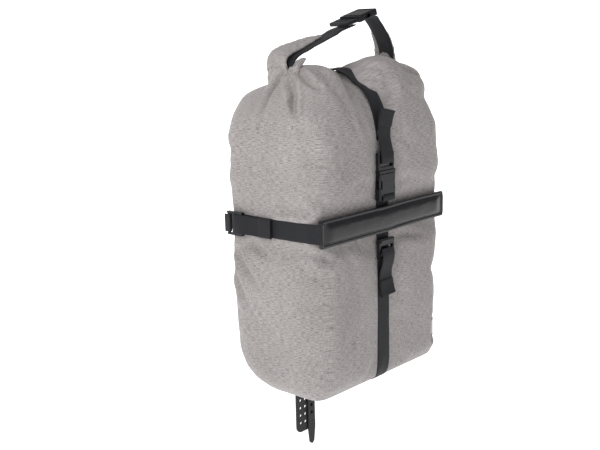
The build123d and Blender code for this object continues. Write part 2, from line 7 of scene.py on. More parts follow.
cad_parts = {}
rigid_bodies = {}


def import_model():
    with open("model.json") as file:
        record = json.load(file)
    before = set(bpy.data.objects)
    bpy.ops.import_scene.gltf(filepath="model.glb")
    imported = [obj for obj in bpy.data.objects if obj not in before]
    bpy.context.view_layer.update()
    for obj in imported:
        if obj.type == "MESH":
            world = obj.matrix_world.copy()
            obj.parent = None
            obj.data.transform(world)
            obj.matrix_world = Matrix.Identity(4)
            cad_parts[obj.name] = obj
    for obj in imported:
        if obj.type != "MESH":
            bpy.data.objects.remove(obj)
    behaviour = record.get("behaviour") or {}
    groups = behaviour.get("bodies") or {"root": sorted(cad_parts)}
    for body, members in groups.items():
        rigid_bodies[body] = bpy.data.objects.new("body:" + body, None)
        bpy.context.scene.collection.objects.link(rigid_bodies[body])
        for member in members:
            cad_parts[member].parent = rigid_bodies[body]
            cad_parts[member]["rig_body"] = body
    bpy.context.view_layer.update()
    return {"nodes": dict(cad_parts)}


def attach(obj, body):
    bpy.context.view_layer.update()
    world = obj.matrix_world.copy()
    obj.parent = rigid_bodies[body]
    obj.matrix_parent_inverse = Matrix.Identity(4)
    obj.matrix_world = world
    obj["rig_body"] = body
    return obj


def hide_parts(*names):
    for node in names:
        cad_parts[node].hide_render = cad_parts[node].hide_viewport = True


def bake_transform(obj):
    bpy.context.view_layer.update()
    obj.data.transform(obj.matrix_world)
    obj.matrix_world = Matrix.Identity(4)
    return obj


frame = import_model()
nodes = frame["nodes"]
scene = bpy.context.scene
mm = 0.001
print("frame loaded", len(nodes), "nodes")

# camera, floor and lights
cameraPlace = {"at": (-967.8, -910.5, 225.0), "yaw": -47.21, "pitch": -11.70, "roll": -1.54, "lens": 55.85}
studio = {"floorZ": -402, "size": 9.0, "rise": 3.2, "bend": 1.2, "pale": (0.9, 0.9, 0.9), "world": 0.24}
lampRows = [
    # name, place in mm, side in m, watts, aimed at in mm
    ("keyLamp", (-2350, -450, 1300), 1.4, 40, (0, -80, 20)),
    ("frontLamp", (500, -2300, 900), 1.3, 4, (0, -80, 0)),
    ("topLamp", (-300, -300, 2200), 1.2, 10, (0, -80, 60)),
    ("backLamp", (400, 2100, 900), 1.8, 12, (0, -40, 0)),
    ("sweepLamp", (1600, 1500, 2600), 2.0, 190, (3600, 3400, 300)),
]


def turned(yaw, pitch, roll):
    angles = (math.radians(yaw), math.radians(90 + pitch), math.radians(roll))
    turnZ, turnX, spin = (Matrix.Rotation(a, 4, axis) for a, axis in zip(angles, "ZXZ"))
    return turnZ @ turnX @ spin


def makeCamera():
    data = bpy.data.cameras.new("viewCamera")
    data.lens = cameraPlace["lens"]
    data.sensor_width = 36.0
    camera = bpy.data.objects.new("viewCamera", data)
    scene.collection.objects.link(camera)
    turn = turned(cameraPlace["yaw"], cameraPlace["pitch"], cameraPlace["roll"])
    camera.matrix_world = Matrix.Translation(Vector(cameraPlace["at"]) * mm) @ turn
    scene.camera = camera


def makeLamps():
    for name, place, side, watts, target in lampRows:
        data = bpy.data.lights.new(name, "AREA")
        data.shape = "SQUARE"
        data.size = side
        data.energy = watts
        lamp = bpy.data.objects.new(name, data)
        scene.collection.objects.link(lamp)
        at = Vector(place) * mm
        aim = (Vector(target) * mm - at).to_track_quat("-Z", "Y")
        lamp.matrix_world = Matrix.Translation(at) @ aim.to_matrix().to_4x4()
    world = bpy.data.worlds.new("studioWorld")
    world.use_nodes = True
    world.node_tree.nodes["Background"].inputs[0].default_value = (1, 1, 1, 1)
    world.node_tree.nodes["Background"].inputs[1].default_value = studio["world"]
    scene.world = world


makeCamera()
makeLamps()
scene.view_settings.view_transform = "Standard"
print("camera and lamps placed")


# materials
class Signal:
    # a shader socket that takes Python arithmetic
    def __init__(self, finish, socket):
        self.finish = finish
        self.socket = socket

    def maths(self, operation, *others):
        return self.finish.node("ShaderNodeMath", {"operation": operation}, *others)

    def __add__(self, other):
        return self.maths("ADD", self, other)

    def __sub__(self, other):
        return self.maths("SUBTRACT", self, other)

    def __mul__(self, other):
        return self.maths("MULTIPLY", self, other)

    __radd__ = __add__
    __rmul__ = __mul__

    def sine(self):
        return self.maths("SINE", self)



class Finish:
    def __init__(self, name, **constants):
        self.material = bpy.data.materials.new(name)
        self.material.use_nodes = True
        self.tree = self.material.node_tree
        self.shader = self.tree.nodes["Principled BSDF"]
        for socket, value in constants.items():
            self.shader.inputs[socket.replace("_", " ")].default_value = value

    def node(self, kind, settings=None, *values, out=0, **named):
        made = self.tree.nodes.new(kind)
        for key, value in (settings or {}).items():
            setattr(made, key, value)
        rows = list(enumerate(values)) + [(key.replace("_", " "), value) for key, value in named.items()]
        for key, value in rows:
            self.feed(made.inputs[key], value)
        return Signal(self, made.outputs[out])

    def feed(self, socket, value):
        if isinstance(value, Signal):
            self.tree.links.new(value.socket, socket)
        else:
            socket.default_value = value

    def drive(self, **signals):
        for socket, value in signals.items():
            self.feed(self.shader.inputs[socket.replace("_", " ")], value)

    def place(self, layer=None):
        if layer:
            return self.node("ShaderNodeUVMap", {"uv_map": layer})
        return self.node("ShaderNodeTexCoord", None, out="Object")

    def mapped(self, vector, scale, turn=(0, 0, 0)):
        rotation = tuple(math.radians(a) for a in turn)
        return self.node("ShaderNodeMapping", None, Vector=vector, Scale=scale, Rotation=rotation)

    def clouds(self, vector, scale, detail=3.0, rough=0.55):
        values = {"Vector": vector, "Scale": scale, "Detail": detail, "Roughness": rough}
        return self.node("ShaderNodeTexNoise", None, **values)

    def parts(self, vector):
        split = self.node("ShaderNodeSeparateXYZ", None, vector)
        outputs = split.socket.node.outputs
        return [Signal(self, outputs[i]) for i in range(3)]

    def ramp(self, factor, *stops):
        made = self.node("ShaderNodeValToRGB", None, factor)
        band = made.socket.node.color_ramp
        band.elements[0].position, band.elements[0].color = stops[0][0], (*stops[0][1], 1)
        band.elements[1].position, band.elements[1].color = stops[-1][0], (*stops[-1][1], 1)
        for position, colour in stops[1:-1]:
            band.elements.new(position).color = (*colour, 1)
        return made

    def blendColour(self, factor, one, two, mode="MIX"):
        made = self.node("ShaderNodeMix", {"data_type": "RGBA", "blend_type": mode})
        mix = made.socket.node
        self.feed(mix.inputs[0], factor)
        self.feed(mix.inputs[6], one if isinstance(one, Signal) else (*one, 1))
        self.feed(mix.inputs[7], two if isinstance(two, Signal) else (*two, 1))
        return Signal(self, mix.outputs[2])

    def bump(self, height, distance, strength=1.0, under=None):
        values = {"Height": height, "Distance": distance, "Strength": strength}
        if under:
            values["Normal"] = under
        return self.node("ShaderNodeBump", None, **values)


fabricLook = {
    "light": (0.47, 0.442, 0.434), "mid": (0.31, 0.289, 0.284), "dark": (0.13, 0.12, 0.118),
    "thread": 1500, "run": 130, "grid": 2600, "weaveDepth": 0.00022, "crumpleDepth": 0.0011,
}


def fabricFinish(name, look):
    finish = Finish(name, Roughness=0.62, Sheen_Weight=0.15, Sheen_Roughness=0.5)
    place = finish.place("weave")
    down = finish.clouds(finish.mapped(place, (look["thread"], look["run"], 1)), 1.0, 2.0, 0.6)
    over = finish.clouds(finish.mapped(place, (look["run"], look["thread"], 1)), 1.0, 2.0, 0.6)
    along, up, _ = finish.parts(place)
    grid = ((along + up * 0.4) * look["grid"]).sine() * ((up - along * 0.2) * look["grid"]).sine()
    weave = down * 0.3 + over * 0.7 + grid * 0.025
    tint = finish.ramp(weave, (0.36, look["dark"]), (0.47, look["mid"]), (0.62, look["light"]))
    blotch = finish.clouds(finish.place(), 9.0, 3.0)
    shade = finish.ramp(blotch, (0.3, (0.88, 0.86, 0.86)), (0.7, (1.06, 1.05, 1.05)))
    crumple = finish.clouds(finish.place(), 26.0, 4.0, 0.6)
    low = finish.bump(crumple, look["crumpleDepth"], 0.55)
    finish.drive(
        Base_Color=finish.blendColour(1.0, tint, shade, "MULTIPLY"),
        Roughness=0.52 + weave * 0.2,
        Normal=finish.bump(weave, look["weaveDepth"], 0.8, low),
    )
    return finish.material


webLook = {"dark": (0.004, 0.0043, 0.006), "light": (0.014, 0.0145, 0.02), "rib": 0.00125, "column": 0.0021}


def webFinish(name, look):
    # ribs run across the strap and columns along it
    finish = Finish(name, Roughness=0.6, Sheen_Weight=0.05, Specular_IOR_Level=0.3)
    along, across, _ = finish.parts(finish.place("weave"))
    turn = 2 * math.pi
    slant = (across * (turn / look["column"])).sine() * 1.1
    ribs = (along * (turn / look["rib"]) + slant).sine() * 0.5 + 0.5
    grain = finish.clouds(finish.mapped(finish.place("weave"), (900, 300, 1)), 1.0, 2.0)
    tone = ribs * 0.55 + grain * 0.5
    finish.drive(
        Base_Color=finish.ramp(tone, (0.15, look["dark"]), (0.85, look["light"])),
        Roughness=0.5 + grain * 0.25,
        Normal=finish.bump(ribs * 0.7 + grain * 0.4, 0.00025, 0.7),
    )
    return finish.material


def panelFinish(name, colour, depth, pitch):
    finish = Finish(name, Roughness=0.6)
    place = finish.place()
    x, _, z = finish.parts(place)
    turn = 2 * math.pi / pitch
    knit = (x * turn).sine() * (z * turn).sine() * 0.5 + 0.5
    grain = finish.clouds(place, 240.0, 3.0)
    shaded = tuple(c * 0.6 for c in colour)
    finish.drive(
        Base_Color=finish.ramp(grain * 0.6 + knit * 0.4, (0.2, shaded), (0.8, colour)),
        Roughness=0.5 + grain * 0.25,
        Normal=finish.bump(knit * 0.6 + grain * 0.4, depth, 0.6),
    )
    return finish.material


def mouldedFinish(name, colour, rough, coat=0.0, grain=900.0, depth=0.00004):
    finish = Finish(name, Roughness=rough, Coat_Roughness=0.12, Specular_IOR_Level=0.3)
    place = finish.place()
    fine = finish.clouds(place, grain, 2.0)
    soft = finish.clouds(place, 60.0, 3.0)
    finish.drive(
        Base_Color=finish.blendColour(soft, tuple(c * 0.8 for c in colour), tuple(c * 1.25 for c in colour)),
        Roughness=rough - 0.06 + soft * 0.14,
        Coat_Weight=coat + soft * 0.05,
        Normal=finish.bump(fine, depth, 0.5),
    )
    return finish.material


def coatedFinish(name):
    # coated sleeve: glossy with a faint pull of the cloth under it
    finish = Finish(name, Roughness=0.24, Coat_Roughness=0.1, Specular_IOR_Level=0.3)
    place = finish.place()
    pull = finish.clouds(finish.mapped(place, (18, 60, 90)), 1.0, 3.0)
    grain = finish.clouds(place, 700.0, 2.0)
    low = finish.bump(pull, 0.0012, 0.5)
    finish.drive(
        Base_Color=finish.blendColour(pull, (0.004, 0.004, 0.005), (0.012, 0.012, 0.015)),
        Roughness=0.18 + pull * 0.16,
        Coat_Weight=0.22 + grain * 0.1,
        Normal=finish.bump(grain, 0.00005, 0.4, low),
    )
    return finish.material


def metalFinish(name, colour, rough):
    finish = Finish(name, Metallic=1.0, Roughness=rough)
    marks = finish.clouds(finish.place(), 160.0, 4.0)
    finish.drive(
        Base_Color=finish.blendColour(marks, tuple(c * 0.9 for c in colour), colour),
        Roughness=rough + marks * 0.1,
        Normal=finish.bump(marks, 0.00003, 0.3),
    )
    return finish.material


def floorFinish(name, pale):
    finish = Finish(name, Roughness=0.9, Emission_Strength=0.7)
    soft = finish.clouds(finish.place(), 2.0, 2.0)
    finish.drive(
        Base_Color=finish.blendColour(soft, tuple(c * 0.98 for c in pale), pale),
        Emission_Color=finish.blendColour(soft, tuple(c * 0.98 for c in pale), pale),
    )
    return finish.material


patchLook = {"low": 0.216, "height": 0.026, "edge": (0.03, 0.03, 0.035)}


def patchFinish(name):
    finish = Finish(name, Roughness=0.35, Coat_Roughness=0.2)
    _, _, z = finish.parts(finish.place())
    beads = finish.node("ShaderNodeTexVoronoi", None, Vector=finish.place(), Scale=1400.0)
    inside = ((z + patchLook["low"]) * (math.pi / patchLook["height"])).sine()
    edge = finish.ramp(inside, (0.26, patchLook["edge"]), (0.34, (1.0, 1.0, 1.0)))
    face = finish.blendColour(beads, (0.6, 0.6, 0.61), (0.48, 0.48, 0.49))
    finish.drive(
        Base_Color=finish.blendColour(1.0, face, edge, "MULTIPLY"),
        Roughness=0.3 + beads * 0.3,
        Normal=finish.bump(beads, 0.0001, 0.4),
    )
    return finish.material


looks = {
    "fabric": fabricFinish("heatheredFabric", fabricLook),
    "web": webFinish("wovenWebbing", webLook),
    "panel": panelFinish("rackPanelCloth", (0.055, 0.057, 0.062), 0.0003, 0.0032),
    "trim": panelFinish("ribbedTape", (0.09, 0.09, 0.085), 0.0004, 0.0021),
    "binding": panelFinish("bindingTape", (0.018, 0.018, 0.022), 0.0002, 0.0013),
    "plastic": mouldedFinish("mouldedBuckle", (0.008, 0.0084, 0.0105), 0.26, 0.1),
    "sleeve": coatedFinish("coatedSleeve"),
    "rubber": mouldedFinish("strapRubber", (0.014, 0.0145, 0.016), 0.48, 0.0, 500.0, 0.0001),
    "ring": metalFinish("ringSteel", (0.82, 0.82, 0.83), 0.12),
    "spring": metalFinish("springSteel", (0.6, 0.6, 0.61), 0.3),
    "patch": patchFinish("lightPatch"),
    "thread": mouldedFinish("sewingThread", (0.05, 0.05, 0.055), 0.6, 0.0, 1500.0, 0.00005),
    "white": mouldedFinish("stiffener", (0.55, 0.55, 0.54), 0.5),
    "floor": floorFinish("paleFloor", studio["pale"]),
}
print("finishes made", len(looks))


# shared making
def objectFrom(bm, name, look, smooth=True):
    mesh = bpy.data.meshes.new(name)
    bm.to_mesh(mesh)
    bm.free()
    piece = bpy.data.objects.new(name, mesh)
    scene.collection.objects.link(piece)
    mesh.materials.append(looks[look])
    for face in mesh.polygons:
        face.use_smooth = smooth
    return piece


def seat(piece, body, slot, *replaced):
    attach(piece, body)
    if replaced:
        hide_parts(*replaced)
    return piece


def spread(values, steps):
    # smooth line through the values, steps to each run
    rows = [Vector(v) for v in values]
    rows = [2 * rows[0] - rows[1]] + rows + [2 * rows[-1] - rows[-2]]
    line = []
    for a, b, c, d in zip(rows, rows[1:], rows[2:], rows[3:]):
        for i in range(steps):
            t = i / steps
            bend = (2 * a - 5 * b + 4 * c - d) * t ** 2 + (3 * b - a - 3 * c + d) * t ** 3
            line.append(0.5 * (2 * b + (c - a) * t + bend))
    return line + [rows[-2]]


def ribbon(name, route, side, width, thick, look="web", steps=6, across=4, wave=0.0, round=0.3):
    # flat strap along a route in mm; side and width may be one value or one for each point
    count = len(route)
    sides = [side] * count if isinstance(side[0], (int, float)) else side
    widths = [width] * count if isinstance(width, (int, float)) else width
    path = spread([Vector(p) * mm for p in route], steps)
    sideLine = [s.normalized() for s in spread(sides, steps)]
    widthLine = [v[0] * mm for v in spread([(w, 0, 0) for w in widths], steps)]
    last = len(path) - 1
    reach = [0.0]
    for a, b in zip(path, path[1:]):
        reach.append(reach[-1] + (b - a).length)
    bm = bmesh.new()
    bmesh.ops.create_grid(bm, x_segments=last, y_segments=across, size=0.5)
    bm.verts.ensure_lookup_table()
    weave = bm.loops.layers.uv.new("weave")
    spots = {}
    for vert in bm.verts:
        i, v = min(last, max(0, int((vert.co.x + 0.5) * last + 0.5))), vert.co.y
        tangent = (path[min(i + 1, last)] - path[max(i - 1, 0)]).normalized()
        across3 = (sideLine[i] - tangent * sideLine[i].dot(tangent)).normalized()
        lift = tangent.cross(across3) * wave * mm * noise.noise(Vector((reach[i] * 60, v * 2, len(name))))
        spots[vert] = (reach[i], v * widthLine[i])
        vert.co = path[i] + across3 * v * widthLine[i] + lift
    for face in bm.faces:
        for loop in face.loops:
            loop[weave].uv = spots[loop.vert]
    piece = objectFrom(bm, name, look)
    solid = piece.modifiers.new("thickness", "SOLIDIFY")
    solid.thickness = thick * mm
    solid.offset = 0.0
    if round:
        soft = piece.modifiers.new("edges", "BEVEL")
        soft.width = round * mm
        soft.segments = 2
        soft.limit_method = "ANGLE"
        soft.angle_limit = math.radians(50)
    return piece


def stitches(name, lines, pitch=3.0, length=2.2, thick=0.35, look="web"):
    # rows of thread dashes along lines of points in mm
    bm = bmesh.new()
    for line in lines:
        points = [Vector(p) * mm for p in line]
        for a, b in zip(points, points[1:]):
            run = b - a
            number = max(1, int(run.length / (pitch * mm)))
            turn = run.to_track_quat("X", "Z").to_matrix().to_4x4()
            for i in range(number):
                middle = a + run * ((i + 0.5) / number)
                size = Matrix.Diagonal((length * mm, thick * mm, thick * mm, 1))
                bmesh.ops.create_cube(bm, size=1.0, matrix=Matrix.Translation(middle) @ turn @ size)
    return objectFrom(bm, name, look, False)


def softened(node, look, radius=0.5, segments=2, body=None, slot="buckle_plastic", name=None):
    # the CAD piece with its sharp edges rounded over
    bm = bmesh.new()
    bm.from_mesh(nodes[node].data)
    bmesh.ops.remove_doubles(bm, verts=bm.verts, dist=0.00002)
    bmesh.ops.dissolve_limit(bm, angle_limit=math.radians(4), verts=bm.verts, edges=bm.edges)
    sharp = [e for e in bm.edges if len(e.link_faces) == 2 and e.calc_face_angle(0) > math.radians(38)]
    bmesh.ops.bevel(bm, geom=sharp, offset=radius * mm, offset_type="OFFSET", segments=segments,
                    affect="EDGES", profile=0.5, material=-1, clamp_overlap=True)
    bmesh.ops.triangulate(bm, faces=[f for f in bm.faces if len(f.verts) > 4])
    piece = objectFrom(bm, name or node + ".soft", look)
    flat = piece.modifiers.new("faces", "WEIGHTED_NORMAL")
    flat.keep_sharp = False
    return seat(piece, body or nodes[node]["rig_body"], slot, node)


# elastic cord: first, with its lock
flapLow = -264.0
cordRoute = [
    (24.0, -8.7, flapLow + 9.0), (29.5, -8.1, flapLow + 1.0), (29.5, -6.5, flapLow - 10.0),
    (25.0, -4.0, flapLow - 22.0), (25.5, -2.5, flapLow - 36.0), (36.0, -2.5, flapLow - 46.0),
    (48.0, -3.5, flapLow - 42.0), (51.5, -3.5, flapLow - 28.0), (49.2, -3.5, flapLow - 14.0),
    (49.5, -3.5, flapLow - 1.0), (55.0, -3.5, flapLow + 10.0), (67.0, -3.0, flapLow + 13.0),
    (77.0, -2.5, flapLow + 4.0), (81.0, -2.5, flapLow - 10.0), (89.0, -3.5, flapLow - 24.0),
]
cordSize = {"diameter": 3.0, "length": 176.0}


def makeCord():
    curve = bpy.data.curves.new("anchorCord", "CURVE")
    curve.dimensions = "3D"
    curve.bevel_depth = cordSize["diameter"] / 2 * mm
    curve.bevel_resolution = 3
    curve.use_fill_caps = True
    line = curve.splines.new("NURBS")
    line.points.add(len(cordRoute) - 1)
    for point, place in zip(line.points, cordRoute):
        point.co = (*(Vector(place) * mm), 1)
    line.order_u = 3
    line.use_endpoint_u = True
    line.resolution_u = 10
    curve.materials.append(looks["binding"])
    cord = bpy.data.objects.new("anchorCord", curve)
    scene.collection.objects.link(cord)
    seat(cord, "bag", "elastic_cord", "anchor_cord")


makeCord()
lockLooks = {"cord_lock_body": "plastic", "cord_lock_button": "plastic", "cord_lock_spring": "spring"}
for node, look in lockLooks.items():
    nodes[node].data.materials.clear()
    nodes[node].data.materials.append(looks[look])
print("cord made")

# bag fabric
# height, half width, back, front, front corner, rack-side corner, all in mm
bagLevels = [
    (-248, 104, -50, -140, 18, 40),
    (-247, 122, -34, -154, 16, 50),
    (-243, 130, -24, -160, 16, 62),
    (-232, 134, -16, -163, 17, 60),
    (-214, 135.5, -15, -164, 18, 30),
    (-196, 136, -14.5, -164, 18, 16),
    (-150, 137, -14.5, -165, 18, 9),
    (-90, 138, -14.5, -165, 18, 7),
    (-44, 136, -14.5, -164, 16, 6),
    (-20, 134, -14.5, -163, 16, 6),
    (4, 136, -14.5, -164, 16, 6),
    (40, 140, -14, -167, 20, 8),
    (94, 140, -14.5, -165, 26, 12),
    (124, 135, -20, -158, 34, 16),
    (146, 127, -33, -142, 30, 18),
    (158, 118, -58, -122, 16, 12),
]
bagForm = {
    "corner": 12, "voxel": 4.2, "roll": (118, 18, 14), "rollAt": (0, -88, 170),
    "lobes": [
        ((-80, -115, 140), (50, 39, 43)),
        ((48, -112, 144), (66, 42, 47)),
        ((90, -110, 131), (54, 46, 50)),
    ],
    "saddle": (11.0, 24.0),
}
bagCloth = {"pressure": 14.0, "frames": 22, "grow": -0.04, "cap": 8.0, "smooth": 6, "even": 8}


def ringPoints(level, corner):
    height, half, back, front, frontCorner, backCorner = level
    spots = [
        (half - backCorner, back - backCorner, backCorner, 0),
        (-half + backCorner, back - backCorner, backCorner, 90),
        (-half + frontCorner, front + frontCorner, frontCorner, 180),
        (half - frontCorner, front + frontCorner, frontCorner, 270),
    ]
    ring = []
    for x, y, radius, start in spots:
        for i in range(corner):
            a = math.radians(start + 90 * i / (corner - 1))
            ring.append(Vector((x + radius * math.cos(a), y + radius * math.sin(a), height)) * mm)
    return ring


def stackRings(bm, rings):
    # a ring of edges pulled up from level to level, closed at both ends
    first = bmesh.ops.create_circle(bm, segments=len(rings[0]), radius=1.0)["verts"]
    for vert, spot in zip(first, rings[0]):
        vert.co = spot
    edges = list({e for v in first for e in v.link_edges})
    ends = [list(first)]
    current = list(first)
    for ring in rings[1:]:
        pulled = bmesh.ops.extrude_edge_only(bm, edges=edges)["geom"]
        made = [g for g in pulled if isinstance(g, bmesh.types.BMVert)]
        edges = [g for g in pulled if isinstance(g, bmesh.types.BMEdge)]
        match = {}
        for vert in made:
            below = [e.other_vert(vert) for e in vert.link_edges if e.other_vert(vert) in current]
            match[current.index(below[0])] = vert
        current = [match[i] for i in range(len(ring))]
        for vert, spot in zip(current, ring):
            vert.co = spot
        ends.append(list(current))
    bm.faces.new(reversed(ends[0]))
    bm.faces.new(ends[-1])
    bmesh.ops.recalc_face_normals(bm, faces=bm.faces)


def addBall(bm, at, radii):
    size = Matrix.Diagonal((*(Vector(radii) * mm), 1))
    bmesh.ops.create_uvsphere(bm, u_segments=32, v_segments=18, radius=1.0,
                              matrix=Matrix.Translation(Vector(at) * mm) @ size)


def addTube(bm, at, radii, half):
    # flattened cylinder along X
    turn = Matrix.Rotation(math.radians(90), 4, "Y")
    size = Matrix.Diagonal((half * mm, radii[0] * mm, radii[1] * mm, 1))
    bmesh.ops.create_cone(bm, cap_ends=True, segments=32, radius1=1.0, radius2=1.0, depth=2.0,
                          matrix=Matrix.Translation(Vector(at) * mm) @ size @ turn)


def remeshed(piece, voxel, smooth):
    cover = piece.modifiers.new("cover", "REMESH")
    cover.mode = "VOXEL"
    cover.voxel_size = voxel * mm
    even = piece.modifiers.new("even", "SMOOTH")
    even.iterations = smooth
    applyAll(piece)


def applyAll(piece):
    depsgraph = bpy.context.evaluated_depsgraph_get()
    mesh = bpy.data.meshes.new_from_object(piece.evaluated_get(depsgraph))
    piece.modifiers.clear()
    old = piece.data
    piece.data = mesh
    bpy.data.meshes.remove(old)
    for face in mesh.polygons:
        face.use_smooth = True


def inflate(piece, settings, held):
    # cloth with air in it; held gives how firmly each point stays, and no point moves past the cap
    rest = [v.co.copy() for v in piece.data.vertices]
    group = piece.vertex_groups.new(name="held")
    for i, spot in enumerate(rest):
        group.add([i], held(spot / mm), "REPLACE")
    cloth = piece.modifiers.new("cloth", "CLOTH")
    cloth.settings.use_pressure = True
    cloth.settings.uniform_pressure_force = settings["pressure"]
    cloth.settings.effector_weights.gravity = 0.0
    cloth.settings.shrink_min = settings["grow"]
    cloth.settings.vertex_group_mass = "held"
    cloth.settings.quality = 6
    cloth.settings.mass = 0.25
    cloth.settings.bending_stiffness = 0.35
    cloth.point_cache.frame_start = 1
    cloth.point_cache.frame_end = settings["frames"]
    for number in range(1, settings["frames"] + 1):
        scene.frame_set(number)
    applyAll(piece)
    cap = settings["cap"] * mm
    moved = [(v.co - start).length / mm for v, start in zip(piece.data.vertices, rest)]
    print(piece.name, "moved", round(sum(moved) / len(moved), 2), "at most", round(max(moved), 2))
    for vert, start in zip(piece.data.vertices, rest):
        move = vert.co - start
        if move.length > cap:
            vert.co = start + move.normalized() * cap
    scene.frame_set(1)


def smoothStep(low, high, value):
    t = max(0.0, min(1.0, (value - low) / (high - low)))
    return t * t * (3 - 2 * t)


def heldOnBag(p):
    # firm along the straps, the bar, the rack panel and the base, free elsewhere
    cinch = 1 - smoothStep(17, 34, abs(p.z + 20))
    strap = 1 - smoothStep(13, 26, abs(p.x)) if p.y < -90 or p.z > 130 else 0.0
    rack = smoothStep(-22, -16.5, p.y) * (1 - smoothStep(10, 40, p.z))
    base = 1 - smoothStep(-246, -236, p.z)
    rolled = smoothStep(156, 166, p.z) * (1 - smoothStep(14, 24, abs(p.y + 88)))
    return max(cinch, strap, rack, base * 0.9, rolled * 0.95)


def weaveMap(piece, frontY=-163.0):
    # threads run round the bag and up it
    layer = piece.data.uv_layers.new(name="weave")
    mesh = piece.data
    for face in mesh.polygons:
        back = face.normal.y > 0.72
        for i in face.loop_indices:
            p = mesh.vertices[mesh.loops[i].vertex_index].co
            depth = p.y - frontY * mm
            u = p.x if back else p.x + math.copysign(depth, p.x)
            climb = p.z + depth * 0.9 * smoothStep(118, 165, p.z / mm)
            layer.data[i].uv = (u, climb)


def makeBag():
    bm = bmesh.new()
    stackRings(bm, [ringPoints(level, bagForm["corner"]) for level in bagLevels])
    for at, radii in bagForm["lobes"]:
        addBall(bm, at, radii)
    half, deep, high = bagForm["roll"]
    addTube(bm, bagForm["rollAt"], (deep, high), half)
    piece = objectFrom(bm, "bagFabric", "fabric")
    remeshed(piece, bagForm["voxel"], bagCloth["smooth"])
    deep, wide = bagForm["saddle"]
    for vert in piece.data.vertices:
        x, z = vert.co.x / mm, vert.co.z / mm
        vert.co.z -= deep * mm * math.exp(-(x / wide) ** 2) * smoothStep(146, 180, z)
    inflate(piece, bagCloth, heldOnBag)
    even = piece.modifiers.new("even", "SMOOTH")
    even.iterations = bagCloth["even"]
    finer = piece.modifiers.new("finer", "SUBSURF")
    finer.levels = 1
    finer.render_levels = 1
    applyAll(piece)
    return piece


# folds pressed into the fabric: points along each in mm, depth and half width in mm
bagFolds = [
    ([(-104, -103, 180), (-119, -92, 158), (-132, -87, 138), (-138, -80, 113)], 9.0, 4.4),
    ([(-109, -108, 176), (-121, -123, 152), (-129, -127, 139), (-133, -134, 127)], 8.0, 4.0),
    ([(-101, -110, 176), (-106, -122, 169), (-106, -136, 161), (-99, -143, 155)], 6.5, 4.0),
    ([(-92, -128, 168), (-80, -148, 152), (-68, -154, 136), (-67, -160, 114)], 3.2, 7.5),
    ([(-85, -130, 180), (-83, -146, 166)], 2.6, 5.0),
    ([(-120, -134, 120), (-124, -146, 92), (-126, -152, 64)], 2.0, 6.5),
    ([(60, -136, 188), (74, -144, 178), (98, -142, 164), (118, -132, 148)], 5.0, 4.0),
    ([(18, -112, 178), (30, -132, 172), (44, -142, 162)], 2.6, 5.0),
    ([(24, -142, 164), (38, -150, 142), (14, -160, 122)], 2.6, 6.5),
    ([(66, -150, 150), (92, -154, 124), (100, -160, 96)], 2.2, 7.0),
    ([(-137, -27, -58), (-139, -67, -96)], 7.0, 5.2),
    ([(-137, -22, -78), (-138, -46, -124)], 6.6, 5.6),
    ([(-136, -50, -41), (-136, -86, -60)], 4.6, 5.0),
    ([(-137, -26, 24), (-139, -60, 44)], 2.0, 6.0),
    ([(-136, -88, 2), (-137, -120, 7), (-134, -152, 3)], 4.6, 5.0),
    ([(-137, -120, 22), (-136, -140, 10), (-130, -160, 4)], 3.0, 4.5),
    ([(-134, -139, -40), (-120, -161, -52), (-100, -164, -62)], 2.6, 5.0),
    ([(-88, -164, -42), (-70, -165, -84), (-80, -165, -116)], 1.8, 8.0),
    ([(-49, -160, 116), (-38, -164, 100), (-35, -165, 75)], 2.2, 6.0),
    ([(18, -165, 18), (46, -165, 30), (70, -165, 24)], 2.0, 6.0),
    ([(22, -164, -46), (60, -164, -54), (98, -164, -62)], 2.4, 6.0),
    ([(-22, -164, 22), (-50, -165, 34), (-80, -165, 26)], 2.0, 6.0),
    ([(28, -165, 94), (65, -166, 64)], 1.8, 8.0),
    ([(-60, -164, -150), (-90, -164, -190)], 1.6, 8.0),
    ([(134, -40, -50), (136, -90, -110)], 4.6, 6.0),
    ([(134, -60, 20), (137, -110, 60)], 3.0, 6.0),
    ([(-70, -15, 70), (-100, -22, 120), (-104, -52, 150)], 3.0, 6.0),
    ([(70, -15, 66), (104, -22, 118), (102, -52, 150)], 3.0, 6.0),
    ([(-20, -15, 110), (-52, -30, 140), (-60, -56, 160)], 2.6, 6.0),
    ([(20, -15, 108), (50, -30, 138), (62, -56, 160)], 2.6, 6.0),
]


# where the corner patch lies: axis of its curve, radius under it, angles and heights it covers
patchSeat = {"axis": (113.1, -142), "radius": 20.5, "angles": (5, 45), "heights": (-216, -190), "fade": 9.0}


def pressUnderPatch(piece, seatRow):
    axisX, axisY = seatRow["axis"]
    lowAngle, highAngle = seatRow["angles"]
    lowZ, highZ = seatRow["heights"]
    for vert in piece.data.vertices:
        x, y, z = (c / mm for c in vert.co)
        away = math.hypot(x - axisX, y - axisY)
        past = away - seatRow["radius"]
        if past < 0 or past > 14 or x < axisX - 30 or z > highZ + 30 or z < lowZ - 30:
            continue
        angle = math.degrees(math.atan2(x - axisX, axisY - y))
        offAngle = max(lowAngle - angle, angle - highAngle, 0) * away * math.pi / 180
        offHeight = max(lowZ - z, z - highZ, 0)
        near = 1 - smoothStep(0, seatRow["fade"], max(math.hypot(offAngle, offHeight) - 2, 0))
        scale = (away - past * near) / away
        vert.co.x = (axisX + (x - axisX) * scale) * mm
        vert.co.y = (axisY + (y - axisY) * scale) * mm


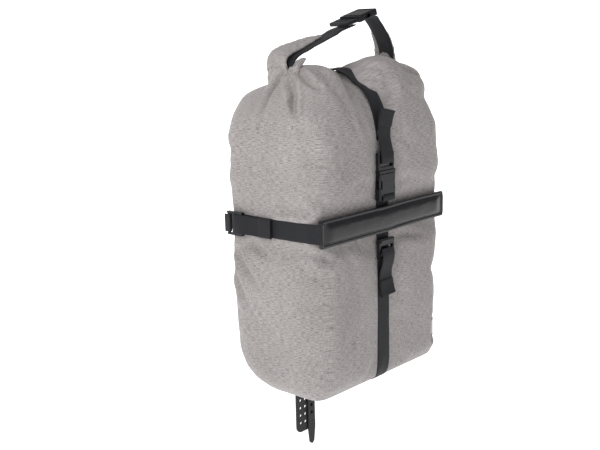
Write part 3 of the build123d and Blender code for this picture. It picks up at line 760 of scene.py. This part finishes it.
def pressFolds(piece, folds):
    mesh = piece.data
    normals = [v.normal.copy() for v in mesh.vertices]
    spots = [v.co.copy() for v in mesh.vertices]
    for points, depth, wide in folds:
        line = spread([Vector(p) * mm for p in points], 14)
        total = len(line) - 1
        reach = 4.2 * wide * mm
        low = Vector(min(p[i] for p in line) - reach for i in range(3))
        high = Vector(max(p[i] for p in line) + reach for i in range(3))
        for vert, spot, normal in zip(mesh.vertices, spots, normals):
            if not all(low[i] < spot[i] < high[i] for i in range(3)):
                continue
            step, near = min(enumerate(line), key=lambda row: (spot - row[1]).length_squared)
            away = spot - near
            if away.length > reach:
                continue
            flat = away - normal * away.dot(normal)
            r = flat.length / (wide * mm)
            taper = math.sin(math.pi * (0.08 + 0.84 * step / total))
            dip = math.exp(-r * r) - 0.4 * math.exp(-((r - 1.9) ** 2))
            vert.co -= normal * depth * mm * dip * taper


bag = makeBag()
pressFolds(bag, bagFolds)
pressUnderPatch(bag, patchSeat)
weaveMap(bag)
seat(bag, "bag", "shell_fabric", "bag_shell", "roll", "base_panel")
print("bag fabric made", len(bag.data.polygons), "faces")

# carry handle: the roll's two ends
armForm = {"voxel": 2.6, "smooth": 3}
armCloth = {"pressure": 6.0, "frames": 14, "grow": -0.03, "cap": 4.0, "smooth": 3}
armRows = {
    # route, side direction, width, thickness, all along the arm
    "left": {
        "route": [(-98, -88, 156), (-106, -86, 170), (-110, -84, 184), (-106, -84, 197), (-90, -84, 204),
                  (-68, -85, 210), (-46, -86, 216), (-28, -86, 220)],
        "side": [(0, 1, 0), (0, 1, 0), (0, 1, 0.1), (0.1, 1, 0.2),
                 (0.1, 1, 0.3), (0, 1, 0.35), (0, 1, 0.3), (0, 1, 0.1)],
        "width": [36, 38, 36, 34, 30, 24, 18, 10],
        "thick": [24, 16, 9, 7, 6, 5, 4, 3],
    },
    "neck": {
        "route": [(-92, -104, 146), (-104, -106, 164), (-104, -108, 178), (-94, -108, 187), (-82, -107, 193)],
        "side": [(0, 1, 0), (0, 1, 0), (0, 1, 0), (0, 1, 0.2), (0, 1, 0.3)],
        "width": [44, 32, 20, 13, 6],
        "thick": [26, 18, 10, 7, 4],
    },
    "right": {
        "route": [(98, -88, 156), (108, -87, 171), (111, -86, 188), (107, -86, 206), (99, -86, 221),
                  (89, -86, 234), (81, -86, 241)],
        "side": [(0, 1, 0), (0, 1, 0), (0, 1, 0), (0, 1, 0), (0, 1, 0), (0, 1, 0), (0, 1, 0)],
        "width": [36, 38, 38, 36, 32, 28, 24],
        "thick": [24, 15, 8, 6, 5, 4, 3],
    },
}


def armTube(name, row, steps=4):
    # flattened tube of fabric, its section an oval that turns with the side direction
    path = spread([Vector(p) * mm for p in row["route"]], steps)
    sides = [s.normalized() for s in spread(row["side"], steps)]
    sizes = spread([(w / 2 * mm, t / 2 * mm, 0) for w, t in zip(row["width"], row["thick"])], steps)
    rings = []
    for i, (spot, side, size) in enumerate(zip(path, sides, sizes)):
        tangent = (path[min(i + 1, len(path) - 1)] - path[max(i - 1, 0)]).normalized()
        across = (side - tangent * side.dot(tangent)).normalized()
        out = tangent.cross(across)
        ring = []
        for k in range(24):
            a = 2 * math.pi * k / 24
            flat = math.copysign(abs(math.cos(a)) ** 0.7, math.cos(a))
            ring.append(spot + across * flat * size.x + out * math.sin(a) * size.y)
        rings.append(ring)
    bm = bmesh.new()
    stackRings(bm, rings)
    return objectFrom(bm, name, "fabric")


def makeArm(sideName):
    piece = armTube("handleArm." + sideName, armRows[sideName])
    remeshed(piece, armForm["voxel"], armForm["smooth"])
    inflate(piece, armCloth, lambda p: 0.3 if abs(p.y + 88) > 12 else 0.85)
    finer = piece.modifiers.new("finer", "SUBSURF")
    finer.levels = 1
    finer.render_levels = 1
    applyAll(piece)
    weaveMap(piece)
    sign = 1 if sideName == "right" else -1
    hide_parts("handle_arm_right" if sign > 0 else "handle_arm_left")
    sign * 0.12
    sign * 0.126
    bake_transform(piece)
    return piece


for sideName in armRows:
    makeArm(sideName)
print("handle arms made")

# straps: route in mm, side direction, width, thickness
strapRows = {
    "closure_strap": {
        "route": [(0, -15.2, 118), (0, -18.5, 128), (0, -31, 145), (0, -52, 157), (0, -64, 166),
                  (0, -74, 173), (0, -88, 176), (0, -102, 174), (0, -114, 168), (0, -128, 159),
                  (0, -143, 149), (0, -155, 132), (0, -162, 110), (0, -164.2, 92),
                  (0, -164.2, 66), (0, -164.2, 46)],
        "body": "bag", "wave": 1.2,
    },
    "link_strap": {
        "route": [(0, -175.7, 4.6), (0, -175.9, 10), (0, -173.4, 12.4), (0, -166, 12.2), (0, -164.2, 8),
                  (0, -164.2, -6), (0, -164.2, -30), (0, -164.2, -50), (0, -164.4, -64)],
        "body": "bag", "wave": 0.0,
    },
    "base_strap": {
        "route": [(0, -166.6, -76), (0, -164.9, -84), (0, -164.4, -98), (0, -164.6, -120), (0, -164.5, -150),
                  (0, -164.3, -190), (0, -164, -222), (0, -161.5, -236), (0, -155, -245), (0, -143, -249),
                  (0, -125, -250), (0, -90, -250), (0, -50, -248.5)],
        "body": "bag", "wave": 0.8,
    },
}


strapRows["handle_web_left"] = {
    "route": [(-106, -95, 176), (-103, -94, 187), (-89, -94, 197), (-66, -94, 205), (-40, -92, 213),
              (-16, -90, 220), (1, -88, 225.6), (29, -88, 233)],
    "side": (0, 1, 0), "body": "handle", "wave": 0.6,
}
strapRows["handle_web_right"] = {
    "route": [(107, -91, 178), (108, -91, 192), (102.5, -91, 208), (92, -90, 224), (82, -88, 237),
              (75.6, -88, 243), (67.5, -88, 243.3)],
    "side": (0, 1, 0), "body": "handle", "wave": 0.6,
}
strapRows["closure_tail"] = {
    "route": [(0, -173.6, 54), (0, -174.4, 62), (0, -172, 74), (0, -168.8, 88), (1, -168.4, 102),
              (3, -169.8, 116), (4.5, -171.5, 124)],
    "side": [(1, 0, 0)] * 4 + [(1, -0.06, 0), (1, -0.14, 0), (1, -0.2, 0)],
    "body": "closure_clip", "wave": 0.5, "fold": 2,
}
strapRows["link_tail"] = {
    "route": [(0, -173, -60), (0, -175, -69), (0, -173.6, -80), (0, -169.8, -92), (1, -168.6, -104),
              (2, -169.8, -117), (3, -171.5, -126)],
    "side": [(1, 0, 0)] * 4 + [(1, -0.06, 0), (1, -0.12, 0), (1, -0.18, 0.03)],
    "body": "link_tail", "wave": 0.5, "fold": 2,
}
sideRows = {
    "side_strap": {
        "route": [(-131.6, -172, -20), (-132.4, -165, -20), (-134.2, -156, -20), (-135, -146, -20),
                  (-135, -110, -20.6), (-135.2, -70, -20.4), (-135, -27, -20)],
        "side": (0, 0, 1), "body": "bag", "wave": 0.5,
    },
    "side_tail": {
        "route": [(-144.2, -30, -20), (-143.8, -40, -20), (-140.4, -54, -20.5), (-138.4, -70, -21),
                  (-138.6, -92, -21)],
        "side": (0, 0.05, 1), "body": "side_lock", "wave": 0.4, "fold": 1,
    },
}


webForm = {"wide": 25.0, "thick": 1.6, "folded": 3.6}


def foldEnd(name, row, side, width):
    # doubled end of a strap
    keep = row["fold"]
    route = row["route"][-keep - 1:]
    sides = side[-keep - 1:] if isinstance(side, list) else side
    return ribbon(name, route, sides, width + 0.4, webForm["folded"], "web", 6, 6, row["wave"])


def makeStraps():
    for node, row in strapRows.items():
        side = row.get("side", (1, 0, 0))
        sizes = (webForm["wide"], webForm["thick"], "web", 5, 6, row["wave"])
        piece = ribbon(node + ".web", row["route"], side, *sizes)
        seat(piece, row["body"], "webbing", node)
        if "fold" in row:
            seat(foldEnd(node + ".fold", row, side, webForm["wide"]), row["body"], "webbing")
    for node, row in sideRows.items():
        for sign, label in ((1, "_left"), (-1, "_right")):
            flipped = dict(row, route=[(sign * x, y, z) for x, y, z in row["route"]])
            body = row["body"] if row["body"] == "bag" else row["body"] + label
            sizes = (webForm["wide"], webForm["thick"], "web", 5, 6, row["wave"])
            piece = ribbon(node + label + ".web", flipped["route"], row["side"], *sizes)
            seat(piece, body, "webbing", node + label)
            if "fold" in row:
                end = foldEnd(node + label + ".fold", flipped, row["side"], webForm["wide"])
                seat(end, body, "webbing")


makeStraps()
print("straps made")

# rack side: band, rail loops, tails
rackForm = {"x": 72, "loop": 38, "radius": 6.95, "root": -9.95, "ringY": -5.5, "peelY": -9.4, "peelZ": -39.5}


def loopRoute(x):
    radius, root = rackForm["radius"], rackForm["root"]
    route = [(x, root, -33), (x, root, -22), (x, root, -13), (x, root + 1.6, -7)]
    for i in range(7):
        a = math.pi - math.pi * i / 6
        route.append((x, radius * math.cos(a), radius * math.sin(a)))
    low = (x, rackForm["ringY"] - 3.3, -35.5)
    route += [(x, radius - 2.2, -8), (x, -0.6, -19), low, (x, rackForm["peelY"], rackForm["peelZ"])]
    return route


def makeRackSide():
    bandRoute = [(x, -11.85, -21) for x in range(-125, 126, 25)]
    band = ribbon("rackBand", bandRoute, (0, 0, 1), 34.5, 1.5, "web", 4, 6)
    seat(band, "bag", "webbing", "top_band")
    rows = [[(x, -11.0, z) for x in (-123, 123)] for z in (-5.6, -36.4)]
    for x, label in ((-rackForm["x"], "_left"), (rackForm["x"], "_right")):
        loop = ribbon("railLoop" + label, loopRoute(x), (1, 0, 0), rackForm["loop"], 1.9, "web", 4, 6)
        seat(loop, "bag", "webbing", "rail_loop" + label)
        tailRows = ((-10.05, -41), (-10.0, -60), (-10.1, -90), (-10.0, -120), (-9.9, -150), (-9.7, -166))
        tail = [(x, y, z) for y, z in tailRows]
        piece = ribbon("railTail" + label, tail, (1, 0, 0), rackForm["loop"], 1.9, "web", 4, 6)
        seat(piece, "rail_tail" + label, "webbing", "rail_tail" + label)
        grab = [(x, -9.2, -161), (x, -9.1, -170), (x, -8.9, -180)]
        end = ribbon("railGrab" + label, grab, (1, 0, 0), rackForm["loop"] + 0.4, 3.6, "web", 4, 6, 0.0, 0.8)
        seat(end, "rail_tail" + label, "webbing")
        boxRows = ((-16, -7.2, -165), (16, -7.2, -165), (16, -7.1, -176), (-16, -7.1, -176),
                   (-16, -7.2, -165))
        box = [(x + across, y, z) for across, y, z in boxRows]
        thread = stitches("railGrabStitches" + label, [box], 2.4, 1.7, 0.4, "thread")
        seat(thread, "rail_tail" + label, "webbing")
        patchRows = ((-21.5, -42), (-21.5, -190), (21.5, -190), (21.5, -42))
        rows.append([(x + across, -11.3, z) for across, z in patchRows])
    seat(stitches("rackStitches", rows, 2.6, 1.9, 0.35, "thread"), "bag", "webbing")


makeRackSide()
print("rack side made")

# compression bar
barForm = {
    "half": 131, "high": 17, "thick": 4.6, "y": -169.5, "z": -20, "edge": 4.6, "flat": 2.1, "ends": 12,
    "segments": (60, 40),
}


def barSpot(x, turn):
    # section: flat bound edges above and below a bulging middle, drawn flat towards both ends
    high, edge, flat = barForm["high"], barForm["edge"], barForm["flat"]
    z = high * math.sin(turn)
    inner = high - edge
    closing = 1 - smoothStep(barForm["half"] - barForm["ends"] - 6, barForm["half"] - 5, abs(x))
    crown = max(0.0, 1 - (z / inner) ** 2) ** 0.55
    depth = flat + (barForm["thick"] - flat) * crown * closing
    depth *= 1 + 0.05 * noise.noise(Vector((x * 0.05, z * 0.1, 3.0)))
    front = math.copysign(depth * min(1.0, 6 * abs(math.cos(turn))), math.cos(turn))
    sag = -1.6 * math.exp(-(x / 26) ** 2) + 1.2 * math.sin(x * 0.018)
    return Vector((x, barForm["y"] - front, barForm["z"] + z + sag * 0.5)) * mm


def makeBar():
    along, round = barForm["segments"]
    rings = []
    for i in range(along + 1):
        x = -barForm["half"] + 2 * barForm["half"] * i / along
        rings.append([barSpot(x, 2 * math.pi * k / round) for k in range(round)])
    bm = bmesh.new()
    stackRings(bm, rings)
    sleeve = objectFrom(bm, "barSleeve", "sleeve")
    seat(sleeve, "bag", "coated_sleeve", "bar_sleeve")
    half, high, y, z = barForm["half"], barForm["high"], barForm["y"], barForm["z"]
    xs = [-half + 2 * half * i / 24 for i in range(25)]
    for sign, label in ((1, "upper"), (-1, "lower")):
        route = [barSpot(x, sign * math.pi / 2) / mm - Vector((0, 0, sign * 1.4)) for x in xs]
        tape = ribbon("barBinding." + label, route, (0, 0, 1), 4.4, 5.4, "sleeve", 2, 2, 0.0, 1.0)
        if sign > 0:
            seat(tape, "bag", "coated_sleeve", "bar_bindings")
        else:
            seat(tape, "bag", "coated_sleeve")
    for sign, label in ((-1, "left"), (1, "right")):
        route = [(sign * (half - 1.6), y, z + high * t) for t in (-0.98, -0.5, 0, 0.5, 0.98)]
        tape = ribbon("barEnd." + label, route, (1, 0, 0), 4.6, 5.8, "sleeve", 2, 2, 0.0, 1.0)
        seat(tape, "bag", "coated_sleeve")
    rows = []
    for sign in (1, -1):
        rows.append([Vector((x, y - 3.0, z + sign * (high - 4.2))) for x in xs])
    thread = stitches("barStitches", rows, 3.2, 2.2, 0.4, "web")
    seat(thread, "bag", "coated_sleeve")


makeBar()
print("compression bar made")

# carried-over pieces and their finishes
kept = {
    "panel": ["back_panel", "anchor_flap"],
    "trim": ["top_edge_strip"],
    "white": ["frame_sheet", "bar_stay", "mouth_strips"],
    "binding": ["closure_anchor", "side_anchor_left", "side_anchor_right", "ring_keeper_left",
                "ring_keeper_right", "loop_patch_left", "loop_patch_right"],
    "plastic": ["closure_buckle_female", "closure_buckle_male", "closure_prong_left", "closure_prong_right",
                "handle_buckle_female", "handle_buckle_male", "handle_prong_left", "handle_prong_right",
                "lower_ladder_lock", "side_lock_left", "side_lock_right"],
    "ring": ["ring_left", "ring_right"],
    "rubber": ["perforated_strap", "strap_tongue"],
    "patch": ["reflective_patch"],
}
for look, names in kept.items():
    for node in names:
        nodes[node].data.materials.clear()
        nodes[node].data.materials.append(looks[look])

hardware = ["closure_buckle_female", "closure_buckle_male", "handle_buckle_female", "handle_buckle_male",
            "lower_ladder_lock", "side_lock_left", "side_lock_right"]
for node in hardware:
    softened(node, "plastic", 0.9)
print("hardware softened")


# floor
def makeFloor():
    size, rise, bend = studio["size"], studio["rise"], studio["bend"]
    bm = bmesh.new()
    bmesh.ops.create_grid(bm, x_segments=1, y_segments=1, size=size)
    turn = Matrix.Rotation(math.radians(-47.2), 4, "Z")
    edge = [e for e in bm.edges if all(v.co.y > size - 0.1 for v in e.verts)]
    pulled = bmesh.ops.extrude_edge_only(bm, edges=edge)["geom"]
    raised = [g for g in pulled if isinstance(g, bmesh.types.BMVert)]
    bmesh.ops.translate(bm, vec=(0, 0.4, rise), verts=raised)
    bmesh.ops.bevel(bm, geom=edge, offset=bend, segments=12, affect="EDGES", profile=0.5, material=-1)
    bmesh.ops.transform(bm, matrix=Matrix.Translation((0, 0, studio["floorZ"] * mm)) @ turn, verts=bm.verts)
    floor = objectFrom(bm, "paleFloor", "floor")


makeFloor()
